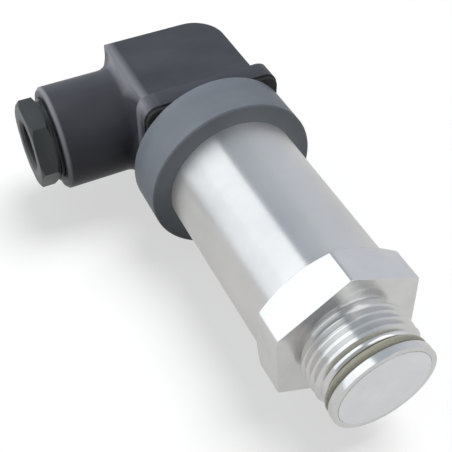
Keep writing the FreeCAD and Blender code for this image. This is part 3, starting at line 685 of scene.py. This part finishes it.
# white floor, sky, panel lamps and the lamp of the shadow
stageLook = {
    "floorLevel": -0.0174,
    "floorSize": 3.0,
    "floorGlow": 0.62,           # the floor as the camera sees it
    "floorAlbedo": 0.09,
    "metalGlow": 0.60,           # as the metal mirrors it
    "metalAlbedo": 0.032,
    "floorBounce": 0.021,        # as every other ray sees it
    "skySideFade": (0.35, 0.85),   # how far towards +X the sky turns to its side colour
    "skyMatt": {"over": (0.66, 0.71, 0.77, 1), "side": (0.54, 0.56, 0.62, 1),
                "front": (0.0, 0.0, 0.0, 1), "frontSide": (0.0, 0.0, 0.0, 1),
                "fade": (0.15, -0.15)},
    "skyMirrored": {"over": (0.49, 0.545, 0.595, 1), "side": (0.68, 0.70, 0.77, 1),
                    "front": (0.42, 0.44, 0.47, 1), "frontSide": (0.85, 0.86, 0.9, 1),
                    "fade": (0.1, -0.3)},
    # long panels over the outlet's side: edges in degrees round the case, from +X over the top
    "panels": [{"name": "brightPanel", "edges": (104.0, 146.0), "radiance": 0.92},
               {"name": "leftPanel", "edges": (146.0, 178.0), "radiance": 0.76}],
    "panelDistance": 0.40,
    "panelAlong": (-0.06, 0.85),
    "frontPanel": {"name": "frontPanel", "toward": (0.42, -0.60, 0.68), "distance": 0.45,
                   "size": (0.46, 0.34), "radiance": 1.0},
    "shadowStrength": 12.5,
    "shadowAngle": 36.0,
    "shadowFrom": (0.36, 0.14, 1.0),
}


def pathFactor(tree, *names):
    # one where the ray is any of the named kinds
    path = tree.nodes.new("ShaderNodeLightPath")
    result = path.outputs[names[0]]
    for name in names[1:]:
        result = mathNode(tree, "MAXIMUM", result, path.outputs[name])
    return result


def mixedShader(tree, factor, first, second):
    mix = tree.nodes.new("ShaderNodeMixShader")
    for socket, value in zip(mix.inputs, (factor, first, second)):
        tree.links.new(value, socket)
    return mix.outputs[0]


def litPaper(tree, albedo, glow):
    # matt paper that also gives off an even light, so that its shadows stay pale
    paper = tree.nodes.new("ShaderNodeBsdfDiffuse")
    paper.inputs["Color"].default_value = (albedo, albedo, albedo, 1)
    light = tree.nodes.new("ShaderNodeEmission")
    light.inputs["Strength"].default_value = glow
    both = tree.nodes.new("ShaderNodeAddShader")
    tree.links.new(paper.outputs[0], both.inputs[0])
    tree.links.new(light.outputs[0], both.inputs[1])
    return both.outputs[0]


def makeFloor(look):
    mesh = bpy.data.meshes.new("floor")
    half = look["floorSize"] / 2
    corners = [(x, y, look["floorLevel"]) for x, y in
               ((-half, -half), (half, -half), (half, half), (-half, half))]
    mesh.from_pydata(corners, [], [(0, 1, 2, 3)])
    material = bpy.data.materials.new("whiteFloor")
    material.use_nodes = True
    tree = material.node_tree
    tree.nodes.clear()
    output = tree.nodes.new("ShaderNodeOutputMaterial")
    seen = litPaper(tree, look["floorAlbedo"], look["floorGlow"])
    mirrored = litPaper(tree, look["metalAlbedo"], look["metalGlow"])
    bounce = litPaper(tree, look["floorBounce"], 0.0)
    unseen = mixedShader(tree, pathFactor(tree, "Is Glossy Ray"), bounce, mirrored)
    direct = pathFactor(tree, "Is Camera Ray", "Is Transmission Ray")
    tree.links.new(mixedShader(tree, direct, unseen, seen), output.inputs["Surface"])
    mesh.materials.append(material)
    floor = newObject("floor", mesh)
    return floor


def makeSky(look):
    # blue-grey over the part, with other colours towards +X and in front of the stub (-Y):
    # one sky lights the matt plastics, one is mirrored, and the camera sees white
    world = bpy.data.worlds.new("studio")
    scene.world = world
    world.use_nodes = True
    tree = world.node_tree
    tree.nodes.clear()
    output = tree.nodes.new("ShaderNodeOutputWorld")
    coords = tree.nodes.new("ShaderNodeTexCoord")
    split = tree.nodes.new("ShaderNodeSeparateXYZ")
    tree.links.new(coords.outputs["Generated"], split.inputs[0])

    def shadedToward(axis, fade, first, second):
        share = tree.nodes.new("ShaderNodeMapRange")
        share.inputs["From Min"].default_value = fade[0]
        share.inputs["From Max"].default_value = fade[1]
        tree.links.new(split.outputs[axis], share.inputs["Value"])
        return mixedColour(tree, share.outputs["Result"], first, second)

    def graded(sky):
        back = shadedToward("X", look["skySideFade"], sky["over"], sky["side"])
        front = shadedToward("X", look["skySideFade"], sky["front"], sky["frontSide"])
        return shadedToward("Y", sky["fade"], back, front)

    colour = mixedColour(tree, pathFactor(tree, "Is Glossy Ray"), graded(look["skyMatt"]),
                         graded(look["skyMirrored"]))
    lit = tree.nodes.new("ShaderNodeBackground")
    tree.links.new(colour, lit.inputs["Color"])
    white = tree.nodes.new("ShaderNodeBackground")
    white.inputs["Color"].default_value = (1, 1, 1, 1)
    shown = mixedShader(tree, pathFactor(tree, "Is Camera Ray"), lit.outputs[0],
                        white.outputs[0])
    tree.links.new(shown, output.inputs["Surface"])


def placePanel(name, centre, outward, along, size, radiance):
    # a rectangular lamp facing back along outward, its second side parallel to along
    lamp = bpy.data.lights.new(name, "AREA")
    lamp.shape = "RECTANGLE"
    lamp.size, lamp.size_y = size
    lamp.energy = radiance * math.pi * size[0] * size[1]
    turn = Matrix((along.cross(outward), along, outward)).transposed().to_4x4()
    newObject(name, lamp).matrix_world = Matrix.Translation(centre) @ turn


def makeLongPanel(look, panel):
    # parallel to the case, so that its edges show as straight lines in the steel
    low, high = [math.radians(edge) for edge in panel["edges"]]
    middle, half = (low + high) / 2, (high - low) / 2
    start, end = look["panelAlong"]
    outward = Vector((math.cos(middle), 0, math.sin(middle)))
    along = Vector((0, 1, 0))
    centre = outward * look["panelDistance"] + along * (start + end) / 2
    size = (2 * look["panelDistance"] * math.tan(half), end - start)
    placePanel(panel["name"], centre, outward, along, size, panel["radiance"])


def makeFrontPanel(panel):
    # over the diaphragm's side, for the stub and the hexagon's front face
    outward = Vector(panel["toward"]).normalized()
    along = Vector((0, 0, 1)).cross(outward).normalized()
    placePanel(panel["name"], outward * panel["distance"], outward, along,
               panel["size"], panel["radiance"])


def makeShadowLamp(look, floor):
    # almost overhead; it drops the soft shadow and lights the floor only
    lamp = bpy.data.lights.new("shadowLamp", "SUN")
    lamp.energy = look["shadowStrength"]
    lamp.angle = math.radians(look["shadowAngle"])
    lampObject = newObject("shadowLamp", lamp)
    direction = Vector(look["shadowFrom"])
    lampObject.rotation_euler = direction.to_track_quat("Z", "Y").to_euler()
    lampObject.location = direction
    receivers = bpy.data.collections.new("shadowReceivers")
    receivers.objects.link(floor)
    lampObject.light_linking.receiver_collection = receivers


# the photograph's view, found by fitting the outlines
cameraPlace = {
    "position": (-0.0570, -0.06515, 0.11651),
    "right": (0.89602, -0.44380, 0.01393),
    "down": (-0.31579, -0.65899, -0.68264),
    "lens": 67.15,
    "clipStart": 0.01,
}


def makeCamera(place):
    camera = bpy.data.cameras.new("camera")
    camera.lens = place["lens"]
    camera.clip_start = place["clipStart"]
    right = Vector(place["right"]).normalized()
    up = -Vector(place["down"]).normalized()
    back = right.cross(up)
    turn = Matrix((right, up, back)).transposed().to_4x4()
    cameraObject = newObject("camera", camera)
    cameraObject.matrix_world = Matrix.Translation(place["position"]) @ turn
    scene.camera = cameraObject


floor = makeFloor(stageLook)
makeSky(stageLook)
for panel in stageLook["panels"]:
    makeLongPanel(stageLook, panel)
makeFrontPanel(stageLook["frontPanel"])
makeShadowLamp(stageLook, floor)
makeCamera(cameraPlace)
scene.view_settings.view_transform = "Standard"
print("stage set")
